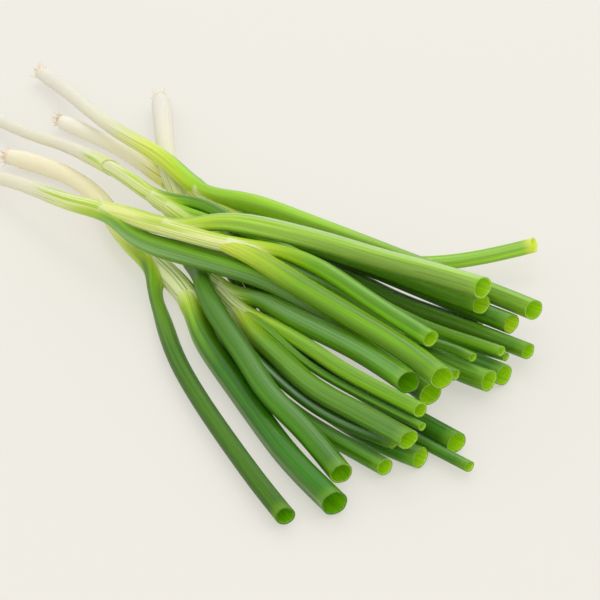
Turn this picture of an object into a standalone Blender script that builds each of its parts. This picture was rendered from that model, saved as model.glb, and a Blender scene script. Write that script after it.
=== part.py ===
"""A bunch of spring onions lying on a table: six plants, each a pale shank of rolled sheaths with
trimmed roots at one end and hollow leaves, cut square, at the other. Metres, +X from the roots to the
leaf ends, +Z up, origin under the middle of the bunch."""

import bmesh
import bpy
import numpy as np
from mathutils import Vector

MM = 0.001

# Driving dimensions.
BUNCH_LENGTH = 398 * MM  # the routes below, from the furthest root to the furthest leaf end
BUNCH_SPREAD = 222 * MM  # the same routes across, from the outermost leaf end to the other
LEAF_GIRTH = 1.0  # multiplies every leaf's own width
SHANK_GIRTH = 1.0  # multiplies every shank's own widths
LEAF_WALL = 0.5 * MM  # a leaf is a hollow tube with this wall
SHEATH_STEP = 0.5 * MM  # a shank loses one sheath, and this much radius, at each collar
ROOT_PLATE = 2.4 * MM  # thickness of the disc that the roots grow from
ROOT_LENGTH = 6.5 * MM  # the trimmed roots
PIECE_GAP = 0.35 * MM  # between pieces that touch

# The routes' own extent, in their own millimetres.
ROUTE_LENGTH = 398
ROUTE_SPREAD = 222

# Mesh fineness.
LEAF_RING_STEP = 16 * MM
SHANK_RING_STEP = 15 * MM
SAMPLE_STEP = 2.5 * MM
KNOT_STEP = 22 * MM
BEVEL_RESOLUTION = 2  # eight sides

# How the pieces meet and settle.
BASE_RUN = 4 * MM  # the leaf at a shank's end first runs straight on for this far
SIDE_RUN = 2 * MM  # a leaf at its side first runs along it for this far
SWELL_RUN = 50 * MM  # a side leaf reaches its full width over this length
LINE_SWELL_RUN = 25 * MM  # and the one at the end over this
LEAF_HOLD = 14 * MM  # a leaf's base keeps its place on the collar within about this length
SHEATH_LEDGE = 1.5 * MM  # a sheath's edge runs out over this length
BULB_SHARE = 0.05  # where along a shank its width at the roots is reached
NECK_SHARE = 0.3  # and where its neck is
ROOT_TAPER = 0.8  # the shank's lower end, as a share of its width at the roots
SOLVE_MARGIN = 0.2 * MM  # more than the gap, because contacts are felt at samples
SETTLE_TURNS = 400
NEIGHBOUR_TURNS = 8  # the list of close samples is made again after this many turns
NEIGHBOUR_REACH = 3 * MM
BLOCK = 400  # samples compared with all others at once
PUSH_GAIN = 0.9
PUSH_EASE = 0.3  # keeps a shift small where few samples touch
WELD = 0.01 * MM

# The roots' plate and pegs.
PLATE_SHARE = 0.92  # the plate's width, as a share of the shank's lower end
PLATE_TIP_SHARE = 0.55
PEG_INSET = 0.35 * MM
PEG_TAPER = 0.5
PEG_CLEARANCE = 0.8 * MM  # a peg that points down is shortened, so that its tip stays off the table
PEG_LEAN = 1.1  # how much more the pegs point outwards along the shank than sideways
PEG_SIDES_FROM = 0.25  # faces above this depth of the plate, as a share of it, grow a peg
PLATE_SIDES = 8

# Colours.
SHANK_COLOUR = (0.80, 0.84, 0.52)
LEAF_COLOUR = (0.16, 0.36, 0.06)
ROOT_COLOUR = (0.80, 0.68, 0.48)

# Each shank: its route from the roots to its last collar, its width at the roots, at its narrow neck
# and at its first collar, and how far along it each collar is, as a share of its length.
SHANKS = {
    "a": {
        "route": [(-271, 67, 6), (-250, 64, 7), (-227, 56, 11), (-201, 47, 15), (-171, 38, 20),
                  (-123, 29, 26), (-100, 24, 25), (-84, 20, 21), (-62, 22, 19), (-40, 25, 18)],
        "widths": (8.4, 7.0, 9.2, 7.6),
        "collars": (0.78, 1.0),
    },
    "b": {
        "route": [(-245, -28, 5), (-215, -26, 5), (-190, -23, 9), (-161, -22, 14), (-137, -23, 18),
                  (-115, -21, 22), (-92, -19, 27), (-66, -18, 31), (-34, -9, 32)],
        "widths": (8.0, 6.6, 9.2, 8.8),
        "collars": (0.64, 0.83, 1.0),
    },
    "c": {
        "route": [(-275, 20, 5), (-243, 17, 6), (-211, 15, 10), (-183, 15, 15), (-159, 12, 19),
                  (-137, 9, 22), (-115, 5, 24), (-88, 1, 24)],
        "widths": (7.4, 5.8, 7.6, 7.8),
        "collars": (0.93, 1.0),
    },
    "d": {
        "route": [(-208, -3, 6), (-182, 5, 6), (-165, 6, 6), (-147, 4, 6), (-103, -13, 7),
                  (-81, -17, 7), (-54, -22, 7), (-43, -26, 7)],
        "widths": (9.6, 8.6, 11.4, 11.0),
        "collars": (0.78, 1.0),
    },
    "e": {
        "route": [(-200, 93, 6), (-182, 79, 9), (-153, 55, 14), (-135, 41, 16), (-118, 29, 16),
                  (-104, 23, 14), (-65, -5, 8), (-41, -11, 7), (-19, -18, 7)],
        "widths": (11.0, 9.6, 11.4, 9.6),
        "collars": (0.79, 0.90, 1.0),
    },
    "f": {
        "route": [(-220, 41, 5), (-193, 43, 5), (-167, 43, 5), (-136, 39, 5), (-112, 36, 5), (-92, 34, 5)],
        "widths": (8.6, 7.4, 9.2, 8.0),
        "collars": (0.70, 0.85, 1.0),
    },
}

# Each leaf: its plant, the collar it grows from, whether it carries the shank on in line, its route
# after the collar, its width where it leaves the sheath and its full width.
LEAVES = [
    ("a", 0, False, [(-76, 24, 29), (-61, 30, 27), (-39, 37, 24), (-13, 45, 21), (17, 51, 19),
                     (51, 56, 18), (82, 59, 17)], 4.0, 9.4),
    ("a", 1, True, [(0, 38, 17), (32, 46, 14), (56, 51, 14), (77, 56, 15)], 6.4, 9.0),
    ("a", 1, False, [(-24, 22, 24), (12, 35, 23), (41, 40, 22), (66, 46, 22)], 3.4, 9.0),
    ("a", 1, False, [(-22, 34, 13), (17, 40, 8), (37, 44, 8), (61, 52, 8)], 2.8, 5.4),
    ("b", 0, False, [(-96, -25, 22), (-80, -24, 22), (-59, -18, 23), (-38, -13, 23), (-8, -3, 19),
                     (27, -2, 14), (83, -6, 10)], 3.6, 10.4),
    ("b", 1, False, [(-42, -2, 37), (-19, 7, 38), (3, 16, 38), (26, 24, 37), (47, 33, 36),
                     (70, 41, 35)], 4.6, 10.0),
    ("b", 2, False, [(-20, 0, 35), (-4, 3, 35), (9, 4, 35), (36, 1, 34), (61, -1, 33),
                     (77, -1, 32)], 3.2, 7.4),
    ("b", 2, True, [(-17, -7, 31), (2, -8, 30), (44, -8, 28), (68, -8, 27), (93, -12, 26)], 6.6, 10.0),
    ("c", 0, False, [(-84, 5, 26), (-70, 8, 25), (-50, 12, 20), (-40, 16, 17), (-15, 24, 14), (10, 31, 12),
                     (31, 34, 10), (53, 41, 9), (68, 45, 8), (91, 49, 8)], 3.4, 7.4),
    ("c", 1, True, [(-60, 1, 20), (-34, 5, 17), (-12, 11, 14), (16, 16, 12), (45, 17, 10), (72, 16, 9),
                    (93, 20, 9)], 6.4, 9.6),
    ("c", 1, False, [(-60, 8, 25), (-40, 13, 24), (-10, 18, 22), (20, 18, 19), (50, 22, 15), (70, 29, 14),
                     (88, 34, 14)], 3.0, 4.6),
    ("c", 1, False, [(-65, -3, 17), (-35, 1, 13), (0, 5, 12), (40, 8, 14), (66, 9, 14),
                     (85, 8, 14)], 3.0, 5.2),
    ("d", 0, False, [(-66, -31, 6), (-49, -40, 5), (-19, -58, 5), (10, -71, 5), (42, -83, 5),
                     (71, -93, 5), (91, -99, 5)], 3.2, 7.6),
    ("d", 1, True, [(-33, -32, 6), (-12, -43, 6), (12, -53, 6), (39, -63, 5), (69, -74, 6),
                    (100, -81, 6)], 7.0, 10.2),
    ("d", 1, False, [(-32, -27, 4), (-18, -32, 5), (0, -38, 5), (50, -50, 5), (98, -50, 5)], 2.8, 7.4),
    ("d", 1, False, [(-32, -25, 8), (-18, -30, 8), (10, -40, 7), (49, -46, 9), (72, -46, 10),
                     (95, -41, 10)], 2.8, 4.2),
    ("e", 0, False, [(-53, -14, 12), (-36, -25, 14), (-13, -36, 15), (15, -47, 15), (41, -58, 14),
                     (62, -61, 12), (91, -68, 8)], 3.0, 9.2),
    ("e", 1, False, [(-22, -7, 12), (1, -11, 15), (25, -13, 18), (51, -14, 20), (82, -20, 22)], 4.2, 9.8),
    ("e", 2, False, [(3, -20, 12), (26, -24, 15), (54, -28, 18), (95, -26, 19)], 3.6, 6.6),
    ("e", 2, False, [(0, -23, 13), (29, -29, 12), (55, -31, 14), (100, -30, 16)], 2.8, 3.6),
    ("e", 2, True, [(-4, -26, 9), (24, -35, 12), (50, -43, 14), (78, -43, 16), (103, -42, 16)], 5.4, 8.6),
    ("e", 2, False, [(-6, -26, 4), (12, -32, 4), (40, -38, 5), (86, -40, 5), (104, -36, 5)], 2.8, 9.0),
    ("f", 0, False, [(-112, 41, 5), (-84, 41, 5), (-62, 44, 5), (-38, 49, 5), (-12, 58, 5), (10, 71, 6),
                     (28, 90, 9), (43, 112, 13)], 3.6, 7.2),
    ("f", 2, True, [(-60, 28, 5), (0, 24, 5), (50, 24, 5), (92, 31, 5)], 6.4, 9.6),
    ("f", 1, False, [(-90, 42, 4), (-60, 36, 5), (0, 33, 4), (53, 33, 5), (85, 41, 6)], 2.8, 4.0),
    ("f", 1, False, [(-90, 26, 5), (-60, 15, 5), (-30, 2, 5), (0, -10, 5), (32, -17, 5), (60, -19, 5),
                     (108, -18, 5)], 3.4, 9.2),
    ("f", 2, False, [(-60, 32, 12), (0, 12, 8), (50, 12, 14), (66, 17, 16), (85, 19, 16)], 2.8, 4.2),
    ("f", 0, False, [(-105, 26, 3), (-50, 6, 4), (0, -20, 4), (27, -28, 4), (73, -28, 4),
                     (121, -25, 4)], 2.8, 4.8),
]


def in_metres(points):
    """A route's points at the bunch's real length and spread; heights stay as they are."""
    scale = (BUNCH_LENGTH / ROUTE_LENGTH, BUNCH_SPREAD / ROUTE_SPREAD, MM)
    return np.array(points, dtype=float) * scale


def smooth_line(points, per_span=12):
    """A Catmull-Rom curve through the points, as closely spaced points."""
    padded = np.vstack([2 * points[0] - points[1], points, 2 * points[-1] - points[-2]])
    line = []
    for p0, p1, p2, p3 in zip(padded, padded[1:], padded[2:], padded[3:]):
        chord = np.linalg.norm(p2 - p1)
        m1 = (p2 - p0) / (np.linalg.norm(p2 - p1) + np.linalg.norm(p1 - p0)) * chord
        m2 = (p3 - p1) / (np.linalg.norm(p3 - p2) + np.linalg.norm(p2 - p1)) * chord
        for t in np.linspace(0, 1, per_span, endpoint=False):
            h00, h10 = 2 * t**3 - 3 * t**2 + 1, t**3 - 2 * t**2 + t
            h01, h11 = -2 * t**3 + 3 * t**2, t**3 - t**2
            line.append(h00 * p1 + h10 * m1 + h01 * p2 + h11 * m2)
    return np.array(line + [points[-1]])


def along(line, shares):
    """Points of a line at these shares of its length."""
    steps = np.linalg.norm(np.diff(line, axis=0), axis=1)
    travelled = np.concatenate([[0], np.cumsum(steps)]) / steps.sum()
    return np.array([np.interp(shares, travelled, line[:, axis]) for axis in range(3)]).T


def line_length(line):
    return np.linalg.norm(np.diff(line, axis=0), axis=1).sum()


def spline_weights(shares, knots):
    """Cubic B-spline weights, one row for each share of the length and one column for each knot."""
    place = np.clip(shares, 0, 1) * (knots - 1)
    weights = np.zeros((len(shares), knots))
    for row, x in enumerate(place):
        cell = min(int(x), knots - 2)
        t = x - cell
        basis = ((1 - t) ** 3, 3 * t**3 - 6 * t**2 + 4, -3 * t**3 + 3 * t**2 + 3 * t + 1, t**3)
        for offset, value in zip((-1, 0, 1, 2), basis):
            weights[row, min(max(cell + offset, 0), knots - 1)] += value / 6
    return weights


class Stalk:
    """A shank or a leaf: rings along a route, each with a radius, that may shift to clear the others."""

    def __init__(self, name, line, shares, radii):
        self.name = name
        self.shares = shares
        self.radii = radii
        self.drawn = along(line, shares)
        self.length = line_length(self.drawn)
        knots = max(4, round(self.length / KNOT_STEP) + 1)
        self.shift = np.zeros((knots, 3))
        self.ring_weights = spline_weights(shares, knots)
        fine = np.linspace(0, 1, max(3, round(self.length / SAMPLE_STEP)))
        self.to_samples = np.array([np.interp(fine, shares, row) for row in np.eye(len(shares))]).T
        self.sample_weights = self.to_samples @ self.ring_weights
        self.sample_radii = self.to_samples @ radii
        self.mother = None
        self.in_line = False

    def rings(self):
        rings = self.drawn + self.ring_weights @ self.shift
        if self.mother is not None:
            carried = (self.mother.ring_weights @ self.mother.shift)[self.mother_ring]
            rings = rings + carried * self.hold[:, None]
        if self.in_line:
            last, end = self.mother.rings()[-2:]
            forward = (end - last) / np.linalg.norm(end - last)
            rings[0] = end + forward * PIECE_GAP
            rings[1] = rings[0] + forward * BASE_RUN
        return rings

    def grow_from(self, mother, mother_ring, in_line):
        """The leaf's first rings follow its shank, and its own shift starts after them."""
        self.mother = mother
        self.mother_ring = mother_ring
        self.in_line = in_line
        self.hold = 1 - self.shares
        loose = 1 - np.exp(-((self.shares * self.length / LEAF_HOLD) ** 2))
        self.ring_weights = self.ring_weights * loose[:, None]
        self.sample_weights = self.to_samples @ self.ring_weights


def ring_shares(length, step, extra=()):
    """Even shares of a length about one step apart; an extra one takes the place of any even one near it."""
    even = np.linspace(0, 1, max(3, round(length / step) + 1))
    kept = [s for s in even if s in (0, 1) or all(abs(s - e) > 0.5 * step / length for e in extra)]
    return np.array(sorted([*kept, *extra]))


def make_shank(plant, spec):
    line = smooth_line(in_metres(spec["route"]))
    length = line_length(line)
    ledge = SHEATH_LEDGE / length
    inner_collars = [share for share in spec["collars"] if share < 1]
    ledges = [edge for share in inner_collars for edge in (share, share + ledge)]
    shares = ring_shares(length, SHANK_RING_STEP, [BULB_SHARE, *ledges])
    root, neck, collar, inner = (width / 2 * MM * SHANK_GIRTH for width in spec["widths"])
    first = spec["collars"][0]
    stations = [0, BULB_SHARE, NECK_SHARE, first, first + ledge, 1]
    radii = np.interp(shares, stations, [ROOT_TAPER * root, root, neck, collar, inner, inner])
    for share in inner_collars[1:]:
        radii = radii - SHEATH_STEP * (shares > share + ledge / 2)
    return Stalk(f"onion_{plant}_shank", line, shares, radii)


def make_leaf(name, shank, collar_share, in_line, route, base_width, width):
    """A leaf starts in line with the end of its shank, or beside it, on the side that it grows to."""
    ring = int(np.argmin(np.abs(shank.shares - collar_share)))
    if collar_share < 1:
        ring += 1
    collar = shank.drawn[ring]
    forward = shank.drawn[ring] - shank.drawn[ring - 1]
    forward = forward / np.linalg.norm(forward)
    route = in_metres(route)
    base_radius = base_width / 2 * MM * LEAF_GIRTH
    if in_line:
        start = collar + forward * PIECE_GAP
    else:
        aside = route[0] - collar
        aside = aside - forward * (aside @ forward)
        aside = aside / np.linalg.norm(aside)
        start = collar + aside * (shank.radii[ring] + base_radius + PIECE_GAP + SOLVE_MARGIN)
    run = BASE_RUN if in_line else SIDE_RUN
    line = smooth_line(np.vstack([start, start + forward * run, route]))
    length = line_length(line)
    shares = ring_shares(length, LEAF_RING_STEP, [BASE_RUN / length] if in_line else [])
    full = width / 2 * MM * LEAF_GIRTH
    swell = np.clip(shares * length / (LINE_SWELL_RUN if in_line else SWELL_RUN), 0, 1)
    swell = swell * swell * (3 - 2 * swell)
    leaf = Stalk(name, line, shares, base_radius + (full - base_radius) * swell)
    leaf.grow_from(shank, ring, in_line)
    return leaf


def lay_apart(stalks):
    """Shifts the stalks until none touches another or is below the table, and keeps their curves smooth."""
    owner = np.concatenate([np.full(len(s.sample_radii), i) for i, s in enumerate(stalks)])
    radius = np.concatenate([s.sample_radii for s in stalks])
    first = np.cumsum([0] + [len(s.sample_radii) for s in stalks])
    mother_of = {i: stalks.index(s.mother) for i, s in enumerate(stalks) if s.mother is not None}
    for turn in range(SETTLE_TURNS):
        place = np.vstack([s.to_samples @ s.rings() for s in stalks])
        if turn % NEIGHBOUR_TURNS == 0:
            near_a, near_b = [], []
            for start in range(0, len(place), BLOCK):
                block = slice(start, start + BLOCK)
                apart = np.linalg.norm(place[block, None] - place[None], axis=2)
                close = apart < radius[block, None] + radius[None] + NEIGHBOUR_REACH
                a, b = np.nonzero(close)
                a = a + start
                keep = (a < b) & (owner[a] != owner[b])
                near_a.append(a[keep])
                near_b.append(b[keep])
            a, b = np.concatenate(near_a), np.concatenate(near_b)
            daughter = np.array([mother_of.get(j) == i for i, j in zip(owner[a], owner[b])])
            joined = daughter & np.array([stalks[j].in_line for j in owner[b]])
            a, b, daughter = a[~joined], b[~joined], daughter[~joined]
            share_b = np.where(daughter, 1.0, 0.5)
        between = place[a] - place[b]
        apart = np.linalg.norm(between, axis=1)
        depth = radius[a] + radius[b] + PIECE_GAP + SOLVE_MARGIN - apart
        touching = depth > 0
        push = between[touching] / apart[touching, None] * depth[touching, None]
        total = np.zeros_like(place)
        hits = np.zeros(len(place))
        for index, part_of_push in ((a[touching], 1 - share_b[touching]), (b[touching], -share_b[touching])):
            np.add.at(total, index, part_of_push[:, None] * push)
            np.add.at(hits, index, np.abs(part_of_push) > 0)
        sunk = np.clip(radius - place[:, 2], 0, None)
        total /= np.maximum(hits, 1)[:, None]
        total[:, 2] += sunk
        active = (hits > 0) | (sunk > 0)
        for i, stalk in enumerate(stalks):
            part = slice(first[i], first[i + 1])
            weights = stalk.sample_weights[active[part]]
            if len(weights):
                share = np.abs(weights).sum(axis=0)
                stalk.shift += PUSH_GAIN * weights.T @ total[part][active[part]] / (share + PUSH_EASE)[:, None]


def tube(name, rings, radii, caps):
    """A round tube through the rings, as a mesh."""
    curve = bpy.data.curves.new(name, "CURVE")
    curve.dimensions = "3D"
    curve.bevel_depth = 1.0
    curve.bevel_resolution = BEVEL_RESOLUTION
    curve.use_fill_caps = caps
    spline = curve.splines.new("POLY")
    spline.points.add(len(rings) - 1)
    for point, ring, radius in zip(spline.points, rings, radii):
        point.co = (*ring, 1.0)
        point.radius = radius
    wire = bpy.data.objects.new(name + "_route", curve)
    parts_collection.objects.link(wire)
    depsgraph = bpy.context.evaluated_depsgraph_get()
    mesh = bpy.data.meshes.new_from_object(wire.evaluated_get(depsgraph))
    bpy.data.objects.remove(wire)
    bpy.data.curves.remove(curve)
    form = bmesh.new()
    form.from_mesh(mesh)
    bmesh.ops.remove_doubles(form, verts=form.verts, dist=WELD)
    return form, mesh


def finish_piece(name, form, mesh, colour, roughness):
    form.normal_update()
    form.to_mesh(mesh)
    form.free()
    mesh.name = name
    mesh.shade_smooth()
    material = bpy.data.materials.new(name)
    material.use_nodes = True
    surface = material.node_tree.nodes["Principled BSDF"]
    surface.inputs["Base Color"].default_value = (*colour, 1.0)
    surface.inputs["Roughness"].default_value = roughness
    mesh.materials.clear()
    mesh.materials.append(material)
    piece = bpy.data.objects.new(name, mesh)
    parts_collection.objects.link(piece)
    piece.parent = bunch
    return piece


def build_shank(stalk):
    form, mesh = tube(stalk.name, stalk.rings(), stalk.radii, True)
    finish_piece(stalk.name, form, mesh, SHANK_COLOUR, 0.4)


def build_leaf(stalk):
    """The tube is closed at its base and open at its cut end, and its wall goes inwards."""
    rings = stalk.rings()
    form, mesh = tube(stalk.name, rings, stalk.radii, False)
    base = Vector(rings[0])
    rim = [edge for edge in form.edges if edge.is_boundary]
    at_base = [edge for edge in rim if (edge.verts[0].co - base).length < stalk.radii[0] * 1.5]
    bmesh.ops.holes_fill(form, edges=at_base, sides=0)
    bmesh.ops.recalc_face_normals(form, faces=form.faces)
    piece = finish_piece(stalk.name, form, mesh, LEAF_COLOUR, 0.35)
    wall = piece.modifiers.new("wall", "SOLIDIFY")
    wall.thickness = LEAF_WALL
    wall.offset = -1.0


def build_roots(plant, shank):
    """A round plate on the shank's lower end, with short trimmed roots growing out of its rim and end."""
    name = f"onion_{plant}_roots"
    rings = shank.rings()
    outwards = Vector(rings[0] - rings[1]).normalized()
    radius = shank.radii[0]
    mesh = bpy.data.meshes.new(name)
    form = bmesh.new()
    bmesh.ops.create_cone(
        form,
        cap_ends=True,
        segments=PLATE_SIDES,
        radius1=radius * PLATE_SHARE,
        radius2=radius * PLATE_TIP_SHARE,
        depth=ROOT_PLATE,
    )
    growing = [face for face in form.faces if face.calc_center_median().z > -ROOT_PLATE * PEG_SIDES_FROM]
    bmesh.ops.inset_individual(form, faces=growing, thickness=PEG_INSET)
    fresh = bmesh.ops.extrude_discrete_faces(form, faces=growing)["faces"]
    turn = Vector((0, 0, 1)).rotation_difference(outwards).to_matrix().to_4x4()
    place = Vector(rings[0]) + outwards * (ROOT_PLATE / 2 + PIECE_GAP)
    for face in fresh:
        centre = face.calc_center_median()
        away = (face.normal + Vector((0, 0, PEG_LEAN))).normalized() * ROOT_LENGTH
        room = (turn @ centre + place).z - PEG_CLEARANCE
        drop = -(turn @ away).z
        if drop > room:
            away *= room / drop
        for corner in face.verts:
            corner.co = centre + (corner.co - centre) * PEG_TAPER + away
    bmesh.ops.transform(form, matrix=turn, verts=form.verts)
    bmesh.ops.translate(form, vec=place, verts=form.verts)
    finish_piece(name, form, mesh, ROOT_COLOUR, 0.8)


for old in list(bpy.data.objects):
    bpy.data.objects.remove(old)
parts_collection = bpy.data.collections.new("bunch_of_spring_onions")
bpy.context.scene.collection.children.link(parts_collection)
bunch = bpy.data.objects.new("bunch", None)
parts_collection.objects.link(bunch)

shanks = {plant: make_shank(plant, spec) for plant, spec in SHANKS.items()}
leaves = []
counts = dict.fromkeys(SHANKS, 0)
for plant, collar, in_line, route, base_width, width in LEAVES:
    counts[plant] += 1
    name = f"onion_{plant}_leaf_{counts[plant]}"
    share = SHANKS[plant]["collars"][collar]
    leaves.append(make_leaf(name, shanks[plant], share, in_line, route, base_width, width))
lay_apart([*shanks.values(), *leaves])

for shank in shanks.values():
    build_shank(shank)
for leaf in leaves:
    build_leaf(leaf)
for plant, shank in shanks.items():
    build_roots(plant, shank)

bpy.context.view_layer.update()
corners = np.array([corner.co for piece in bunch.children for corner in piece.data.vertices])
low, high = corners.min(axis=0), corners.max(axis=0)
bunch.location = (-(low[0] + high[0]) / 2, -(low[1] + high[1]) / 2, -low[2])
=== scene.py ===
"""A bunch of spring onions lying on a table: six plants with bleached shanks of rolled sheaths, trimmed
roots, and hollow green leaves cut square."""

import math

import bmesh
import bpy
import numpy as np
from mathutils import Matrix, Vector


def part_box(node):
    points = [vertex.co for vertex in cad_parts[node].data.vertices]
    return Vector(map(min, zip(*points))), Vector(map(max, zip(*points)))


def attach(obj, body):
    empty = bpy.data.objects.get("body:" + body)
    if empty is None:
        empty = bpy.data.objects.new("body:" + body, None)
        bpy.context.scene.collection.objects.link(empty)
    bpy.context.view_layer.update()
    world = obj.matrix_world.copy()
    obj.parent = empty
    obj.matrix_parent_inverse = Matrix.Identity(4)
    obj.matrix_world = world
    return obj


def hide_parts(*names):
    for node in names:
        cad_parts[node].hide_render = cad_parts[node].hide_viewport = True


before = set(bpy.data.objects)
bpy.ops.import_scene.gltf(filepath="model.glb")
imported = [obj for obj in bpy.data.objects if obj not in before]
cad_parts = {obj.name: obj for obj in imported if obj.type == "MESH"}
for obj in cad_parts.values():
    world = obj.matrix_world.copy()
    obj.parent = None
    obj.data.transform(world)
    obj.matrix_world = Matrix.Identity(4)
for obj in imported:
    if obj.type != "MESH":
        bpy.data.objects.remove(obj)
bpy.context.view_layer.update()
MM = 0.001


# The table and the light. The bunch lies on a plain matt off-white sheet, under a wide white sky with one
# large soft lamp behind it on the left, as in a studio tent.


def linear(*tone):
    """A colour as a shader takes it, from its everyday 0 to 255 values."""
    shares = [value / 255 for value in tone]
    return [s / 12.92 if s <= 0.04045 else ((s + 0.055) / 1.055) ** 2.4 for s in shares] + [1.0]


bpy.ops.object.select_all(action="DESELECT")
bpy.ops.mesh.primitive_plane_add(size=8, location=(0, 0, 0))
table = bpy.context.object
table.name = "table"
table_paint = bpy.data.materials.new("table_paper")
table_paint.use_nodes = True
paper = table_paint.node_tree.nodes["Principled BSDF"]
paper.inputs["Base Color"].default_value = linear(149, 147, 141)
paper.inputs["Roughness"].default_value = 1.0
paper.inputs["Specular IOR Level"].default_value = 0.0
paper.inputs["Emission Color"].default_value = linear(242, 239, 230)
paper.inputs["Emission Strength"].default_value = 0.57  # the sheet lies on a light table
table.data.materials.append(table_paint)

sky = bpy.data.worlds.new("tent")
sky.use_nodes = True
sky.node_tree.nodes["Background"].inputs["Color"].default_value = (1, 1, 1, 1)
sky.node_tree.nodes["Background"].inputs["Strength"].default_value = 1.05
bpy.context.scene.world = sky
bpy.context.scene.view_settings.view_transform = "Standard"
bpy.context.scene.view_settings.look = "None"

for lamp_name, lamp_place, lamp_size, lamp_power in (
    ("lamp_back", (-0.45, 0.75, 1.15), 0.8, 3.6),
    ("lamp_front", (0.9, -0.75, 1.3), 1.1, 3.0),
):
    bpy.ops.object.light_add(type="AREA", location=lamp_place)
    lamp = bpy.context.object
    lamp.name = lamp_name
    lamp.data.size = lamp_size
    lamp.data.energy = lamp_power
    lamp.rotation_euler = (-Vector(lamp_place)).to_track_quat("-Z", "Y").to_euler()

CAMERA_AIM = Vector((0.0816, -0.0057, 0.0157))
CAMERA_TURN = math.radians(45)
CAMERA_RISE = math.radians(34)
CAMERA_REACH = 0.80
away = Vector((
    math.sin(CAMERA_TURN) * math.cos(CAMERA_RISE),
    -math.cos(CAMERA_TURN) * math.cos(CAMERA_RISE),
    math.sin(CAMERA_RISE),
))
bpy.ops.object.camera_add(location=CAMERA_AIM + away * CAMERA_REACH)
camera = bpy.context.object
camera.data.lens = 108
camera.data.sensor_width = 36
camera.rotation_euler = away.to_track_quat("Z", "Y").to_euler()
bpy.context.scene.camera = camera


# Plant a, along the upper edge of the heap. Each stalk grew as one tube: a sheath rolled round the younger
# ones inside it, which opens at its collar and runs on as a hollow leaf. The outer sheath is bleached at
# the roots and turns yellow-green before its collar.

TUBE_SIDES = 56
TUBE_STEP = 1.6 * MM
FINE_STEP = 0.7 * MM  # at collars and cut ends
FINE_RUN = 9 * MM  # rings are closer together this near to a collar or a cut end
CUT_RUN = 9 * MM  # the cut end's own shape starts this far from it
PART_RUN = 20 * MM  # a leaf parts from its shank over this length
HIDDEN_RUN = 26 * MM  # an inner sheath starts this far below the collar that it comes out of
LEAF_SKIN = 0.75 * MM
SHEATH_SKIN = 0.5 * MM  # each younger stalk is this much thinner in radius than the sheath round it
SIDE_SHARE = 0.72  # a side leaf's width at its collar, as a share of the shank's
START_TAPER = 1.2 * MM  # a hidden start is this much smaller in radius, so that it stays inside
START_RUN = 16 * MM
COLLAR_RUN = 8 * MM  # a stalk's hidden start and its collar's edge reach back this far from the collar
UNEVEN_SHARE = 0.016  # how far a leaf is from round, as a share of its radius
GREEN_RUN = 12 * MM  # a leaf turns green all round over this length past its collar
LIP_WIDTH = 0.32 * MM
LIP_HEIGHT = 0.16 * MM
TIP_RUN = 7 * MM  # painted light: the skin is painted paler this near to the cut, where light comes in through the wall
CUT_FACES = np.array([0.6, -0.6, 0.5])  # one knife stroke cut all the leaves, so every cut leans this way
SKIN_LINES = 6.5  # how close together the streaks of the skin and of the inside are
INSIDE_LINES = 7.0
INSIDE_GLOW = 0.16  # painted glow: the inside shines by itself, for the daylight that comes in through the wall
VEIN_WANDER = 1.6


def read_stalk(node, near=None):
    """A CAD stalk's ring centres and radii, from the closed end that is nearest a place, or is wider."""
    form = bmesh.new()
    form.from_mesh(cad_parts[node].data)
    bmesh.ops.remove_doubles(form, verts=form.verts, dist=0.01 * MM)
    form.normal_update()
    ends, seen = [], set()
    for face in form.faces:
        if face in seen:
            continue
        flat, queue = {face}, [face]
        while queue:
            for edge in queue.pop().edges:
                for other in edge.link_faces:
                    if other not in flat and other.normal.angle(face.normal, 3.0) < 0.02:
                        flat.add(other)
                        queue.append(other)
        seen |= flat
        corners = {corner for part in flat for corner in part.verts}
        if len(corners) == 8:
            places = np.array([corner.co for corner in corners])
            reach = np.linalg.norm(places - places.mean(axis=0), axis=1)
            if reach.max() - reach.min() < 0.04 * reach.max():
                ends.append((corners, places.mean(axis=0), reach.mean()))
    if near is None:
        start = max(ends, key=lambda end: end[2])[0]
    else:
        start = min(ends, key=lambda end: np.linalg.norm(end[1] - np.array(near)))[0]
    centres, radii, level, reached = [], [], set(start), set(start)
    while level:
        places = np.array([corner.co for corner in level])
        centres.append(places.mean(axis=0))
        radii.append(np.linalg.norm(places - centres[-1], axis=1).mean())
        level = {edge.other_vert(corner) for corner in level for edge in corner.link_edges} - reached
        reached |= level
    form.free()
    if near is None:
        centres, radii = centres[: len(centres) // 2], radii[: len(radii) // 2]
    return np.array(centres), np.array(radii)


def marks_of(points):
    """How far along a chain of points each one is."""
    return np.concatenate([[0], np.cumsum(np.linalg.norm(np.diff(points, axis=0), axis=1))])


def along(points, at):
    """Places on a smooth curve through the points, at these distances from the first."""
    marks = marks_of(points)
    slopes = np.gradient(points, marks, axis=0)
    cell = np.clip(np.searchsorted(marks, at) - 1, 0, len(marks) - 2)
    span = (marks[cell + 1] - marks[cell])[:, None]
    t = (at - marks[cell])[:, None] / span
    t = np.clip(t, 0, 1)
    return (
        (2 * t**3 - 3 * t**2 + 1) * points[cell]
        + (t**3 - 2 * t**2 + t) * span * slopes[cell]
        + (3 * t**2 - 2 * t**3) * points[cell + 1]
        + (t**3 - t**2) * span * slopes[cell + 1]
    )


def ease(value, low, high):
    """0 below low, 1 above high, and smooth between."""
    t = np.clip((value - low) / (high - low), 0, 1)
    return t * t * (3 - 2 * t)


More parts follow.
